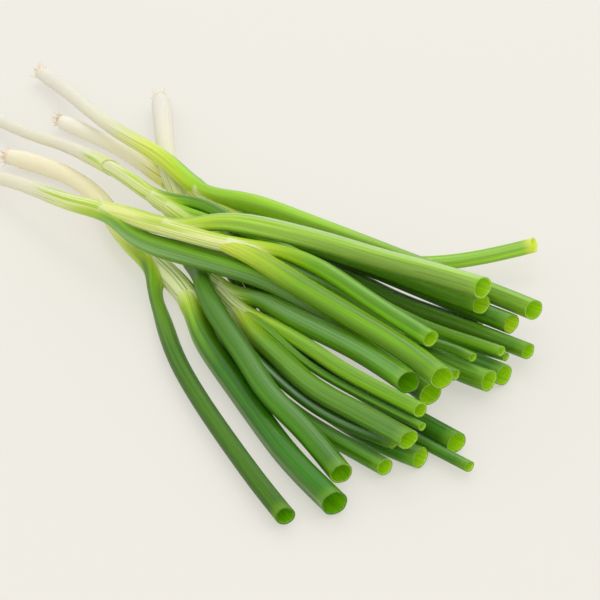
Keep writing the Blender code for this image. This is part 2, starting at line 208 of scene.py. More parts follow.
def eased_line(centres, marks, reach):
    """The same line with its small bends taken out, and its ends kept."""
    even = np.linspace(0, marks[-1], max(8, round(marks[-1] / MM)))
    line = np.array([np.interp(even, marks, centres[:, axis]) for axis in range(3)]).T
    half = max(1, round(reach / (even[1] - even[0])))
    window = np.hanning(2 * half + 1)
    window /= window.sum()
    before = 2 * line[0] - line[half:0:-1]
    after = 2 * line[-1] - line[-2 : -half - 2 : -1]
    padded = np.vstack([before, line, after])
    smooth = np.array([np.convolve(padded[:, axis], window, mode="valid") for axis in range(3)]).T
    return np.array([np.interp(marks, even, smooth[:, axis]) for axis in range(3)]).T


def stations(start, end, fine_places):
    """Distances from start to end, closer together near the fine places."""
    at, places = start, [start]
    while at < end - 0.3 * FINE_STEP:
        near = min(abs(at - place) for place in fine_places)
        at += FINE_STEP if near < FINE_RUN else TUBE_STEP
        places.append(min(at, end))
    return np.array(places)


def build_group_grain():
    """Streaks that run the length of a stalk, from its own map: around in U, along in V."""
    group = bpy.data.node_groups.new("lengthwise_grain", "ShaderNodeTree")
    for socket, low in (("Lines", 12.0), ("Seed", 0.0)):
        group.interface.new_socket(socket, in_out="INPUT", socket_type="NodeSocketFloat").default_value = low
    for socket in ("Fine", "Broad", "Mottle"):
        group.interface.new_socket(socket, in_out="OUTPUT", socket_type="NodeSocketFloat")
    nodes, links = group.nodes, group.links
    entry, leave = nodes.new("NodeGroupInput"), nodes.new("NodeGroupOutput")
    skin_map = nodes.new("ShaderNodeUVMap")
    skin_map.uv_map = "grain"
    split = nodes.new("ShaderNodeSeparateXYZ")
    links.new(skin_map.outputs["UV"], split.inputs["Vector"])
    turn = nodes.new("ShaderNodeMath")
    turn.operation = "MULTIPLY"
    turn.inputs[1].default_value = math.tau
    links.new(split.outputs["X"], turn.inputs[0])
    round_parts = []
    for operation in ("COSINE", "SINE"):
        part = nodes.new("ShaderNodeMath")
        part.operation = operation
        links.new(turn.outputs[0], part.inputs[0])
        round_parts.append(part)
    for name, around, lengthwise, detail in (
        ("Fine", None, 1.3, 4.0),
        ("Broad", 1.5, 0.7, 0.0),
        ("Mottle", 5.0, 9.0, 3.0),
    ):
        place = nodes.new("ShaderNodeCombineXYZ")
        for socket, part in zip("XY", round_parts):
            wide = nodes.new("ShaderNodeMath")
            wide.operation = "MULTIPLY_ADD"
            links.new(part.outputs[0], wide.inputs[0])
            if around is None:
                links.new(entry.outputs["Lines"], wide.inputs[1])
            else:
                wide.inputs[1].default_value = around
            links.new(entry.outputs["Seed"], wide.inputs[2])
            links.new(wide.outputs[0], place.inputs[socket])
        long = nodes.new("ShaderNodeMath")
        long.operation = "MULTIPLY"
        long.inputs[1].default_value = lengthwise
        links.new(split.outputs["Y"], long.inputs[0])
        links.new(long.outputs[0], place.inputs["Z"])
        field = nodes.new("ShaderNodeTexNoise")
        field.inputs["Scale"].default_value = 1.0
        field.inputs["Detail"].default_value = detail
        links.new(place.outputs[0], field.inputs["Vector"])
        spread = nodes.new("ShaderNodeMapRange")
        spread.inputs["From Min"].default_value = 0.28
        spread.inputs["From Max"].default_value = 0.72
        links.new(field.outputs["Fac"], spread.inputs["Value"])
        links.new(spread.outputs[0], leave.inputs[name])
    return group


def build_group_stripes():
    """Thin green veins in a pale sheath, evenly spaced round it and wandering a little."""
    group = bpy.data.node_groups.new("sheath_stripes", "ShaderNodeTree")
    for socket, low in (("Count", 24.0), ("Wander", 1.0), ("Drift", 0.5)):
        group.interface.new_socket(socket, in_out="INPUT", socket_type="NodeSocketFloat").default_value = low
    group.interface.new_socket("Mask", in_out="OUTPUT", socket_type="NodeSocketFloat")
    nodes, links = group.nodes, group.links
    entry, leave = nodes.new("NodeGroupInput"), nodes.new("NodeGroupOutput")
    skin_map = nodes.new("ShaderNodeUVMap")
    skin_map.uv_map = "grain"
    split = nodes.new("ShaderNodeSeparateXYZ")
    links.new(skin_map.outputs["UV"], split.inputs["Vector"])
    around = nodes.new("ShaderNodeMath")
    around.operation = "MULTIPLY"
    links.new(split.outputs["X"], around.inputs[0])
    links.new(entry.outputs["Count"], around.inputs[1])
    wander = nodes.new("ShaderNodeMath")
    wander.operation = "MULTIPLY_ADD"
    links.new(entry.outputs["Drift"], wander.inputs[0])
    links.new(entry.outputs["Wander"], wander.inputs[1])
    links.new(around.outputs[0], wander.inputs[2])
    wave = nodes.new("ShaderNodeMath")
    wave.operation = "PINGPONG"
    wave.inputs[1].default_value = 0.5
    links.new(wander.outputs[0], wave.inputs[0])
    line = nodes.new("ShaderNodeMapRange")
    line.interpolation_type = "SMOOTHSTEP"
    line.inputs["From Min"].default_value = 0.20
    line.inputs["From Max"].default_value = 0.42
    links.new(wave.outputs[0], line.inputs["Value"])
    places = nodes.new("ShaderNodeMapping")
    places.inputs["Scale"].default_value = (16, 0.7, 1)
    links.new(skin_map.outputs["UV"], places.inputs["Vector"])
    strength = nodes.new("ShaderNodeTexNoise")
    strength.inputs["Scale"].default_value = 1.0
    strength.inputs["Detail"].default_value = 1.0
    links.new(places.outputs[0], strength.inputs["Vector"])
    fading = nodes.new("ShaderNodeMapRange")
    fading.inputs["From Min"].default_value = 0.30
    fading.inputs["From Max"].default_value = 0.60
    fading.inputs["To Min"].default_value = 0.4
    links.new(strength.outputs["Fac"], fading.inputs["Value"])
    kept = nodes.new("ShaderNodeMath")
    kept.operation = "MULTIPLY"
    links.new(line.outputs[0], kept.inputs[0])
    links.new(fading.outputs[0], kept.inputs[1])
    links.new(kept.outputs[0], leave.inputs["Mask"])
    return group


grain_group = build_group_grain()
stripe_group = build_group_stripes()


def mixed(tree, factor, low, high):
    """A colour mix node; each input is a socket or a fixed value."""
    mix = tree.nodes.new("ShaderNodeMix")
    mix.data_type = "RGBA"
    for socket, given in ((mix.inputs[0], factor), (mix.inputs[6], low), (mix.inputs[7], high)):
        if isinstance(given, bpy.types.NodeSocket):
            tree.links.new(given, socket)
        else:
            socket.default_value = given
    return mix.outputs[2]


def ranged(tree, value, low, high, to_low=0.0, to_high=1.0):
    """A value between low and high, spread smoothly between the two others."""
    spread = tree.nodes.new("ShaderNodeMapRange")
    spread.interpolation_type = "SMOOTHSTEP"
    for socket, given in zip(spread.inputs[1:5], (low, high, to_low, to_high)):
        socket.default_value = given
    tree.links.new(value, spread.inputs[0])
    return spread.outputs[0]


def times(tree, one, other):
    product = tree.nodes.new("ShaderNodeMath")
    product.operation = "MULTIPLY"
    tree.links.new(one, product.inputs[0])
    if isinstance(other, bpy.types.NodeSocket):
        tree.links.new(other, product.inputs[1])
    else:
        product.inputs[1].default_value = other
    return product.outputs[0]


def shade(tone, share):
    """The same colour, lighter or darker."""
    return [min(255, value * share) for value in tone]


def skin_material(name, looks, seed):
    """The outside of a stalk: bleached, then pale with green veins, then leaf green with a waxy, painted
    sheen.
    """
    material = bpy.data.materials.new(name + "_skin")
    material.use_nodes = True
    tree = material.node_tree
    surface = tree.nodes["Principled BSDF"]
    grain = tree.nodes.new("ShaderNodeGroup")
    grain.node_tree = grain_group
    grain.inputs["Lines"].default_value = SKIN_LINES
    grain.inputs["Seed"].default_value = seed
    stripes = tree.nodes.new("ShaderNodeGroup")
    stripes.node_tree = stripe_group
    stripes.inputs["Count"].default_value = looks.get("stripes", 16.0)
    stripes.inputs["Wander"].default_value = VEIN_WANDER
    tree.links.new(grain.outputs["Broad"], stripes.inputs["Drift"])
    grown = {}
    for label in ("ripe", "lip", "wax_and_sheen", "tip"):
        grown[label] = tree.nodes.new("ShaderNodeAttribute")
        grown[label].attribute_name = label
    ripe = grown["ripe"].outputs["Fac"]
    ramp = tree.nodes.new("ShaderNodeValToRGB")
    tones = [
        (0.0, looks.get("root", (217, 213, 199))),
        (0.20, looks.get("cream", (218, 216, 182))),
        (0.36, looks.get("pale", (214, 221, 148))),
        (0.54, looks.get("young", (180, 203, 56))),
        (0.72, looks.get("bright", (132, 178, 30))),
        (1.0, looks["leaf"]),
    ]
    ramp.color_ramp.elements[0].position = 0
    ramp.color_ramp.elements[0].color = linear(*tones[0][1])
    ramp.color_ramp.elements[1].position = 1
    ramp.color_ramp.elements[1].color = linear(*tones[-1][1])
    for place, tone in tones[1:-1]:
        ramp.color_ramp.elements.new(place).color = linear(*tone)
    tree.links.new(ripe, ramp.inputs["Fac"])
    colour = ramp.outputs["Color"]
    # Veins show where the sheath is pale, and fade into the leaf's own streaks.
    starts = ranged(tree, ripe, 0.10, 0.26)
    ends = ranged(tree, ripe, 0.52, 0.72, 1.0, 0.12)
    veins = times(tree, times(tree, stripes.outputs["Mask"], starts), ends)
    veins = times(tree, veins, ranged(tree, grain.outputs["Broad"], 0.0, 0.8, 0.65, 1.0))
    colour = mixed(tree, veins, colour, linear(*looks.get("vein", (164, 195, 50))))
    green = ranged(tree, ripe, 0.35, 0.8)
    fine = times(tree, ranged(tree, grain.outputs["Fine"], 0.0, 1.0), green)
    broad = times(tree, ranged(tree, grain.outputs["Broad"], 0.1, 0.9), green)
    colour = mixed(tree, times(tree, fine, 0.70), colour, linear(*shade(looks["leaf"], 1.40)))
    colour = mixed(tree, times(tree, broad, 0.55), colour, linear(*shade(looks["leaf"], 0.74)))
    mottle = times(tree, ranged(tree, grain.outputs["Mottle"], 0.55, 0.95), green)
    colour = mixed(tree, times(tree, mottle, 0.35), colour, linear(*shade(looks["leaf"], 1.15)))
    # Painted light: the skin turns paler towards the cut end, for the light that comes in through the thin
    # wall there.
    tip = times(tree, grown["tip"].outputs["Fac"], looks.get("tip_share", 0.3))
    colour = mixed(tree, tip, colour, linear(*looks.get("tip", (140, 186, 24))))
    # A pale bluish band along one side of each leaf. It is partly the leaf's real waxy film and partly a
    # painted highlight, sheen and rim light where the light catches that edge.
    wax_and_sheen_share = times(tree, grown["wax_and_sheen"].outputs["Fac"], ranged(tree, grain.outputs["Fine"], 0.1, 0.9, 0.5, 1.0))
    wax_and_sheen_share = times(tree, wax_and_sheen_share, looks.get("wax_and_sheen_share", 0.12))
    colour = mixed(tree, wax_and_sheen_share, colour, linear(*looks.get("wax_and_sheen", (176, 206, 178))))
    edge = times(tree, grown["lip"].outputs["Fac"], 0.75)
    colour = mixed(tree, edge, colour, linear(*looks.get("lip", (214, 222, 168))))
    tree.links.new(colour, surface.inputs["Base Color"])
    tree.links.new(ranged(tree, grain.outputs["Fine"], 0.0, 1.0, 0.27, 0.42), surface.inputs["Roughness"])
    surface.inputs["Specular IOR Level"].default_value = looks.get("gloss", 0.24)
    surface.inputs["Subsurface Weight"].default_value = 0.22
    surface.inputs["Subsurface Radius"].default_value = (0.7, 1.0, 0.2)
    surface.inputs["Subsurface Scale"].default_value = 0.0022
    height = tree.nodes.new("ShaderNodeMath")
    height.operation = "ADD"
    tree.links.new(grain.outputs["Fine"], height.inputs[0])
    tree.links.new(veins, height.inputs[1])
    bump = tree.nodes.new("ShaderNodeBump")
    bump.inputs["Strength"].default_value = 0.25
    bump.inputs["Distance"].default_value = 0.0001
    tree.links.new(height.outputs[0], bump.inputs["Height"])
    tree.links.new(bump.outputs["Normal"], surface.inputs["Normal"])
    return material


def inside_material(name, looks, seed):
    """The inside of a leaf: wet, yellow-green and ribbed, with a painted glow for light coming through its
    wall.
    """
    material = bpy.data.materials.new(name + "_inside")
    material.use_nodes = True
    tree = material.node_tree
    surface = tree.nodes["Principled BSDF"]
    grain = tree.nodes.new("ShaderNodeGroup")
    grain.node_tree = grain_group
    grain.inputs["Lines"].default_value = INSIDE_LINES
    grain.inputs["Seed"].default_value = seed + 3.0
    lines = ranged(tree, grain.outputs["Fine"], 0.1, 0.9)
    ridge, groove = looks.get("inside", (158, 196, 20)), looks.get("inside_deep", (128, 172, 8))
    colour = mixed(tree, lines, linear(*ridge), linear(*groove))
    tree.links.new(colour, surface.inputs["Base Color"])
    surface.inputs["Roughness"].default_value = 0.35
    surface.inputs["Subsurface Weight"].default_value = 0.5
    surface.inputs["Subsurface Radius"].default_value = (0.7, 1.0, 0.15)
    surface.inputs["Subsurface Scale"].default_value = 0.003
    bump = tree.nodes.new("ShaderNodeBump")
    bump.inputs["Strength"].default_value = 0.15
    bump.inputs["Distance"].default_value = 0.0002
    tree.links.new(grain.outputs["Fine"], bump.inputs["Height"])
    tree.links.new(bump.outputs["Normal"], surface.inputs["Normal"])
    # Painted glow: the inside gives off its own colour, standing in for light that shines through the wall.
    tree.links.new(colour, surface.inputs["Emission Color"])
    surface.inputs["Emission Strength"].default_value = INSIDE_GLOW
    return material


def rim_material(name, looks, seed):
    """The cut edge of a leaf: pale, moist flesh."""
    material = bpy.data.materials.new(name + "_rim")
    material.use_nodes = True
    tree = material.node_tree
    surface = tree.nodes["Principled BSDF"]
    grain = tree.nodes.new("ShaderNodeGroup")
    grain.node_tree = grain_group
    grain.inputs["Seed"].default_value = seed
    flesh, green = looks.get("rim", (150, 192, 60)), shade(looks["leaf"], 1.1)
    colour = mixed(tree, grain.outputs["Fine"], linear(*flesh), linear(*green))
    tree.links.new(colour, surface.inputs["Base Color"])
    surface.inputs["Roughness"].default_value = 0.25
    surface.inputs["Subsurface Weight"].default_value = 0.3
    surface.inputs["Subsurface Scale"].default_value = 0.001
    return material


def sheet_tube(name, rings, sides):
    """A rolled sheet of quads over rows of ring points, closed along its seam and open at both ends."""
    mesh = bpy.data.meshes.new(name)
    rows = len(rings)
    index = np.arange(rows * sides).reshape(rows, sides)
    right = np.roll(index, -1, axis=1)
    quads = np.stack([index[:-1], right[:-1], right[1:], index[1:]], axis=-1).reshape(-1, 4)
    mesh.from_pydata(rings.reshape(-1, 3).tolist(), [], quads.tolist())
    return mesh


def make_tube(name, centres, radii, looks, seed, ripe, greening_at, lip_at, node_names):
    """Lofts a stalk round its centre line, gives it its wall and materials, and puts it in the frame."""
    marks = marks_of(centres)
    rng = np.random.default_rng(seed)
    tangents = np.gradient(centres, marks, axis=0)
    tangents /= np.linalg.norm(tangents, axis=1)[:, None]
    across = np.cross(tangents, (0, 0, 1))
    across /= np.linalg.norm(across, axis=1)[:, None]
    upward = np.cross(across, tangents)
    theta = np.linspace(0, math.tau, TUBE_SIDES, endpoint=False)
    left = marks[-1] - marks  # how far each ring is from the cut end
    leafy = ease(ripe, 0.45, 0.8)
    shape = np.ones((len(marks), TUBE_SIDES))
    for fold in range(2, 6):
        size = UNEVEN_SHARE / fold**0.5
        drift = rng.uniform(-1.2, 1.2) * marks / 0.1
        shape += (leafy * size)[:, None] * np.cos(fold * theta + rng.uniform(0, math.tau) + drift[:, None])
    for place, height, width in looks.get("creases", ()):
        apart = np.angle(np.exp(1j * (theta - math.radians(place))))
        shape += (leafy * height)[:, None] * np.exp(-((apart / width) ** 2))
    flat = looks.get("flat", 0.04) * leafy
    wide = (radii * (1 + flat))[:, None] * shape
    high = (radii * (1 - flat))[:, None] * shape
    rings = (
        centres[:, None]
        + across[:, None] * (wide * np.cos(theta))[..., None]
        + upward[:, None] * (high * np.sin(theta))[..., None]
    )
    # The cut is a little slanted, and its edge is a little ragged.
    cut = ease(CUT_RUN - left, 0, CUT_RUN)[:, None]
    facing = CUT_FACES - tangents[-1] * (CUT_FACES @ tangents[-1])
    facing /= np.linalg.norm(facing)
    slant = -looks.get("slant", 0.25) * ((rings - centres[:, None]) @ facing)
    ragged = 0.08 * np.cos(4 * theta + rng.uniform(0, 6)) + 0.04 * np.cos(7 * theta + rng.uniform(0, 6))
    rings += tangents[:, None] * (cut * (slant + ragged * MM))[..., None]
    # The collar's lip stands a little proud of the younger sheath that comes out of it.
    lip = lip_at(rings) if lip_at else np.zeros(rings.shape[:2])
    outward = rings - centres[:, None]
    outward /= np.linalg.norm(outward, axis=2)[..., None]
    ripe = greening_at(outward) if greening_at else np.repeat(ripe[:, None], TUBE_SIDES, axis=1)
    rings += outward * (lip * LIP_HEIGHT)[..., None]
    mesh = sheet_tube(name, rings, TUBE_SIDES)
    # Where the sheen band lies round the leaf. It is partly real waxy film and partly a painted highlight and
    # rim light on the side that the light catches.
    side = looks.get("sheen_side", 90)
    apart = np.angle(np.exp(1j * (theta - math.radians(side))))
    patch = 0.5 + 0.5 * np.cos(marks / looks.get("sheen_run", 0.05) + rng.uniform(0, 6))
    wax_and_sheen = np.exp(-((apart / looks.get("sheen_width", 0.5)) ** 2)) * (leafy * (0.35 + 0.65 * patch))[:, None]
    tip = np.repeat(ease(TIP_RUN - left, 0, TIP_RUN), TUBE_SIDES) * leafy[-1]
    grown_masks = {"ripe": ripe.ravel(), "lip": lip.ravel(), "wax_and_sheen": wax_and_sheen.ravel(), "tip": tip}
    for label, values in grown_masks.items():
        layer = mesh.attributes.new(label, "FLOAT", "POINT")
        layer.data.foreach_set("value", np.ascontiguousarray(values, dtype=np.float32))
    skin_map = mesh.uv_layers.new(name="grain")
    rows = len(marks)
    around = np.arange(TUBE_SIDES) / TUBE_SIDES
    u = np.stack([around, around + 1 / TUBE_SIDES, around + 1 / TUBE_SIDES, around], axis=-1)
    v_low, v_high = left[:-1] / 0.1, left[1:] / 0.1
    uv = np.empty((rows - 1, TUBE_SIDES, 4, 2))
    uv[..., 0] = u[None]
    uv[:, :, 0, 1] = uv[:, :, 1, 1] = v_low[:, None]
    uv[:, :, 2, 1] = uv[:, :, 3, 1] = v_high[:, None]
    skin_map.data.foreach_set("uv", uv.ravel())
    stalk = bpy.data.objects.new(name, mesh)
    bpy.context.scene.collection.objects.link(stalk)
    for maker in (skin_material, inside_material, rim_material):
        mesh.materials.append(maker(name, looks, float(seed)))
    bpy.ops.object.select_all(action="DESELECT")
    stalk.select_set(True)
    bpy.context.view_layer.objects.active = stalk
    middle = len(marks) // 2
    spoke = Vector(rings[middle, 0] - centres[middle])
    if mesh.polygons[middle * TUBE_SIDES].normal.dot(spoke) < 0:
        mesh.flip_normals()
    bpy.ops.object.shade_smooth()
    wall = stalk.modifiers.new("wall", "SOLIDIFY")
    wall.thickness = looks.get("wall", LEAF_SKIN)
    wall.offset = -1
    wall.material_offset = 1
    wall.material_offset_rim = 2
    bpy.ops.object.modifier_apply(modifier="wall")
    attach(stalk, "root")
    if node_names:
        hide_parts(*node_names)
    return stalk


def grow_plant(plant, roles, greening, first_seed):
    """Makes one plant's tubes. Each leaf's role is outer, inner, line or side; greening holds the shares of
    the outer sheath where it starts to turn green and how green it is at its collar and further in."""
    root_low, root_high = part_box(f"onion_{plant}_roots")
    shank, shank_radii = read_stalk(f"onion_{plant}_shank", (root_low + root_high) / 2)
    line_name = next(name for name, role in roles.items() if role[0] == "line")
    line, line_radii = read_stalk(line_name)
    axis = np.vstack([shank, line[2:]])
    axis_radii = np.concatenate([shank_radii, line_radii[2:]])
    axis_marks = marks_of(axis)
    shank_end = axis_marks[len(shank) - 1]
    fine_axis = along(axis, np.linspace(0, axis_marks[-1], 800))
    collars = {}
    leaves = {}
    for name, (role, looks) in roles.items():
        if role == "line":
            collars[name] = shank_end
            continue
        leaves[name] = read_stalk(name)
        nearest = np.argmin(np.linalg.norm(fine_axis - leaves[name][0][0], axis=1))
        collars[name] = min(axis_marks[-1] * nearest / 799, shank_end)
    first = min(collars.values())
    rising, at_collar, further_in = greening
    for order, (name, (role, looks)) in enumerate(roles.items()):
        collar = collars[name]
        sheaths = [mark for other, mark in collars.items() if roles[other][0] in ("outer", "inner")]
        if role == "inner":
            sheaths = [mark for mark in sheaths if mark < collar - 1 * MM]
        last_edge = 0.0 if role == "outer" else max(sheaths)
        start = 0.0 if role == "outer" else max(0.0, min(collar - COLLAR_RUN, last_edge - HIDDEN_RUN))
        if role == "side":
            start = collar - COLLAR_RUN
        if role == "line":
            end = axis_marks[-1]
            at = stations(start, end, [last_edge, end])
            centres = along(axis, at)
            radii = np.interp(at, axis_marks, axis_radii)
            sheath_radius = np.interp(shank_end, axis_marks, axis_radii) - SHEATH_SKIN
            radii = np.maximum(radii, sheath_radius * (1 - 0.5 * ease(at, shank_end, shank_end + 60 * MM)))
        else:
            leaf, leaf_radii = leaves[name]
            leaf_marks = marks_of(leaf)
            end = collar + leaf_marks[-1]
            at = stations(start, end, [last_edge, collar, collar + 10 * MM, end])
            beyond = np.clip(at - collar, 0, None)
            parted = ease(beyond, 0, PART_RUN)
            on_axis = along(axis, np.minimum(at, axis_marks[-1]))
            on_leaf = along(leaf, beyond)
            centres = on_axis + (on_leaf - on_axis) * parted[:, None]
            sheath = np.interp(np.minimum(at, collar - 0.2 * MM), axis_marks, axis_radii)
            if role == "side":
                sheath = sheath * SIDE_SHARE
            leaf_now = np.interp(beyond + looks.get("swell", 8) * MM, leaf_marks, leaf_radii)
            radii = sheath + (leaf_now - sheath) * ease(beyond, 0, PART_RUN * 1.5)
        if role in ("inner", "line") and last_edge:
            radii = radii - SHEATH_SKIN * (1 - ease(at, last_edge - 2 * MM, last_edge))
        if start > 0:
            radii = radii - START_TAPER * (1 - ease(at, start, start + START_RUN))
        radii = np.convolve(np.pad(radii, 4, mode="edge"), np.ones(9) / 9, mode="valid")
        centres = eased_line(centres, marks_of(centres), min(looks.get("bend", 22) * MM, 0.4 * (end - start)))
        if role == "outer":
            ripe = np.interp(at / first, [0, rising, 1], [0.0, 0.14, at_collar])
        else:
            ripe = np.full(len(at), further_in)
        base = at_collar if role == "outer" else further_in
        ripening = np.array(looks.get("ripening", (-4, 8, 26, 70))) * MM
        grown = np.maximum(ripe, base + (1 - base) * np.interp(at - collar, ripening, [0, 0.30, 0.72, 1.0]))
        lip_at = greening_at = None
        if role in ("outer", "inner"):
            ahead = np.clip(np.arange(collar - COLLAR_RUN, collar + 45 * MM, 0.5 * MM), 0, axis_marks[-1])
            places, place_radii = along(axis, ahead), np.interp(ahead, axis_marks, axis_radii)
            parting = along(leaf, np.array([20 * MM]))[0] - along(axis, np.array([collar + 20 * MM]))[0]
            parting /= np.linalg.norm(parting)
            side_share = looks.get("leaf_side", 0.18) * ease(at, collar - 50 * MM, collar - 5 * MM)
            side_share *= 1 - ease(at, collar + 5 * MM, collar + 40 * MM)

            def greening_at(
                outward, at=at, collar=collar, parting=parting, sheath=ripe, grown=grown, more=side_share
            ):
                """The sheath stays pale up to its edge; its leaf's green starts on the leaf's own side."""
                facing = outward @ parting
                green = ease(facing + (at - collar)[:, None] / GREEN_RUN, -0.2, 1.1)
                own = sheath[:, None] + (grown - sheath)[:, None] * green
                return own + more[:, None] * ease(facing, -0.2, 0.9)

            def lip_at(rings, at=at, collar=collar, places=places, radii=place_radii, parting=parting):
                """1 where the sheath's edge lies on the younger sheath inside it, away from its own leaf."""
                lip = np.zeros(rings.shape[:2])
                for row in np.nonzero((at > collar - 3 * MM) & (at < collar + 30 * MM))[0]:
                    gaps = np.linalg.norm(rings[row][:, None] - places[None], axis=2) - radii[None]
                    spokes = rings[row] - rings[row].mean(axis=0)
                    away = 0.75 - spokes @ parting / np.linalg.norm(spokes, axis=1)
                    edge = np.exp(-((np.clip(gaps.min(axis=1), 0, None) / LIP_WIDTH) ** 2))
                    lip[row] = edge * ease(away, 0, 0.6) * ease(at[row], collar - 2 * MM, collar)
                return lip

        nodes = [name, f"onion_{plant}_shank"] if role == "outer" else [name]
        seed = first_seed + order
        make_tube(name + "_stalk", centres, radii, looks, seed, grown, greening_at, lip_at, nodes)


grow_plant(
    "a",
    {
        "onion_a_leaf_1": (
            "outer",
            {
                "leaf": (110, 152, 40),
                "pale": (216, 222, 100),
                "young": (190, 212, 40),
                "bright": (154, 196, 26),
                "ripening": (-34, 20, 100, 230),
                "swell": 34,
                "bend": 34,
                "sheen_side": 115,
                "slant": 0.35,
            },
        ),
        "onion_a_leaf_2": (
            "line",
            {"leaf": (66, 114, 12), "slant": 0.3, "inside": (188, 206, 40), "bend": 34},
        ),
        "onion_a_leaf_3": (
            "inner",
            {
                "leaf": (86, 133, 24),
                "slant": 0.45,
                "lip": (224, 228, 180),
                "bend": 34,
                "pale": (216, 222, 128),
            },
        ),
        "onion_a_leaf_4": ("side", {"leaf": (52, 100, 8)}),
    },
    (0.50, 0.58, 0.36),
    10,
)


# Plant b, in front and on top of the others. Its three collars are close together, and pale veined sheath
# shows between them.

grow_plant(
    "b",
    {
        "onion_b_leaf_1": (
            "outer",
            {
                "leaf": (88, 134, 18),
                "ripening": (-6, 6, 24, 60),
                "wax_and_sheen_share": 0.35,
                "sheen_side": 10,
                "creases": ((62, 0.03, 0.2),),
            },
        ),
        "onion_b_leaf_2": (
            "inner",
            {
                "leaf": (132, 167, 66),
                "young": (184, 206, 50),
                "bright": (146, 184, 40),
                "ripening": (-10, 14, 50, 130),
                # A thin bright line along the upper edge: a painted highlight over a little real waxy film.
                "wax_and_sheen_share": 0.95,
                "wax_and_sheen": (212, 226, 192),
                "sheen_side": 104,
                "sheen_width": 0.30,
                "sheen_run": 0.2,
                "slant": 0.42,
                "pale": (220, 226, 140),
                "stripes": 12.0,
                "leaf_side": 0.26,
            },
        ),
        "onion_b_leaf_3": (
            "inner",
            {
                "leaf": (84, 136, 6),
                "pale": (221, 226, 152),
                "stripes": 12.0,
                "young": (186, 208, 40),
                "bright": (116, 164, 14),
                "ripening": (0, 20, 60, 110),
                "lip": (224, 230, 190),
            },
        ),
        "onion_b_leaf_4": (
            "line",
            {
                "leaf": (90, 134, 22),
                "pale": (206, 218, 84),
                "bright": (118, 160, 18),
                "ripening": (-2, 18, 60, 120),
                "creases": ((78, 0.04, 0.16),),
                "sheen_side": 78,
                "sheen_width": 0.12,
                "wax_and_sheen_share": 0.2,
            },
        ),
    },
    (0.60, 0.42, 0.36),
    20,
)


# Plant c, between a and b. Its oldest leaf was pulled off, and left the end of its sheath as a thin ring
# round the shank. That ring is dry skin that lies close on the younger sheaths.

grow_plant(
    "c",
    {
        "onion_c_leaf_1": ("outer", {"leaf": (74, 120, 14), "ripening": (-10, 4, 20, 60), "sheen_side": 110}),
        "onion_c_leaf_2": ("line", {"leaf": (84, 132, 10), "ripening": (0, 20, 50, 90)}),
        "onion_c_leaf_3": ("inner", {"leaf": (100, 150, 20)}),
        "onion_c_leaf_4": ("side", {"leaf": (60, 104, 8)}),
    },
    (0.62, 0.38, 0.36),
    30,
)

shank, shank_radii = read_stalk("onion_c_shank", sum(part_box("onion_c_roots"), Vector()) / 2)
old_end = 0.72 * marks_of(shank)[-1]
at = stations(0.42 * old_end, old_end, [old_end])
centres = eased_line(along(shank, at), marks_of(along(shank, at)), 22 * MM)
proud = (-0.4 + 0.85 * ease(at, at[0], at[0] + 0.5 * old_end)) * MM
ripe = 0.26 * ease(at, 0.75 * old_end, old_end) + 0.10
old_looks = {
    "leaf": (168, 190, 60),
    "slant": 0.9,
    "wall": 0.46 * MM,
    "rim": (222, 228, 180),
    "inside": (214, 222, 150),
    "inside_deep": (196, 210, 110),
    "stripes": 15.0,
}
old_radii = np.interp(at, marks_of(shank), shank_radii) + proud
make_tube("onion_c_old_sheath", centres, old_radii, old_looks, 38, ripe, None, None, [])


# Plant d, nearest the front and lowest. Its shank is the thickest and is cream rather than white. Its
# oldest leaf parts early and curves away alone, and the others lie close together.

grow_plant(
    "d",
    {
        "onion_d_leaf_1": (
            "outer",
            {
                "leaf": (56, 94, 14),
                "root": (234, 226, 198),
                "cream": (234, 226, 176),
                "pale": (214, 222, 130),
                "vein": (150, 186, 44),
                # A pale bluish band along the upper right side: painted sheen over a little real waxy film.
                "wax_and_sheen_share": 0.3,
                "gloss": 0.16,
                "wax_and_sheen": (168, 200, 172),
                "sheen_side": 138,
                "sheen_width": 0.4,
                "sheen_run": 0.1,
                "swell": 0,
                "inside": (104, 158, 4),
                "inside_deep": (82, 138, 2),
                "rim": (70, 126, 10),
            },
        ),
        "onion_d_leaf_2": (
            "line",
            {
                "leaf": (42, 98, 4),
                "young": (176, 208, 44),
                "bright": (128, 176, 16),
                "ripening": (-4, 8, 34, 56),
                # A pale band along the lower edge: painted rim light over a little real waxy film.
                "wax_and_sheen_share": 0.4,
                "wax_and_sheen": (186, 210, 150),
                "sheen_side": 12,
                "sheen_width": 0.3,
                "sheen_run": 0.2,
                "inside": (106, 160, 4),
                "inside_deep": (84, 140, 2),
                "rim": (70, 126, 10),
            },
        ),
        "onion_d_leaf_3": (
            "inner",
            {
                "leaf": (70, 122, 6),
                "vein": (98, 150, 6),
                "pale": (214, 222, 162),
                "stripes": 13.0,
                "leaf_side": 0.20,
            },
        ),
        "onion_d_leaf_4": (
            "side",
            {
                "leaf": (56, 100, 20),
                "wax_and_sheen_share": 0.7,
                "wax_and_sheen": (180, 206, 190),
                "sheen_side": 70,
                "sheen_width": 0.35,
            },
        ),
    },
    (0.52, 0.40, 0.36),
    40,
)


# Plant e, whose short shank lies away from the others at the back. It crosses under a, c and b, and its six
# leaves come out low in the middle of the heap, each rolled out of the sheath before it.

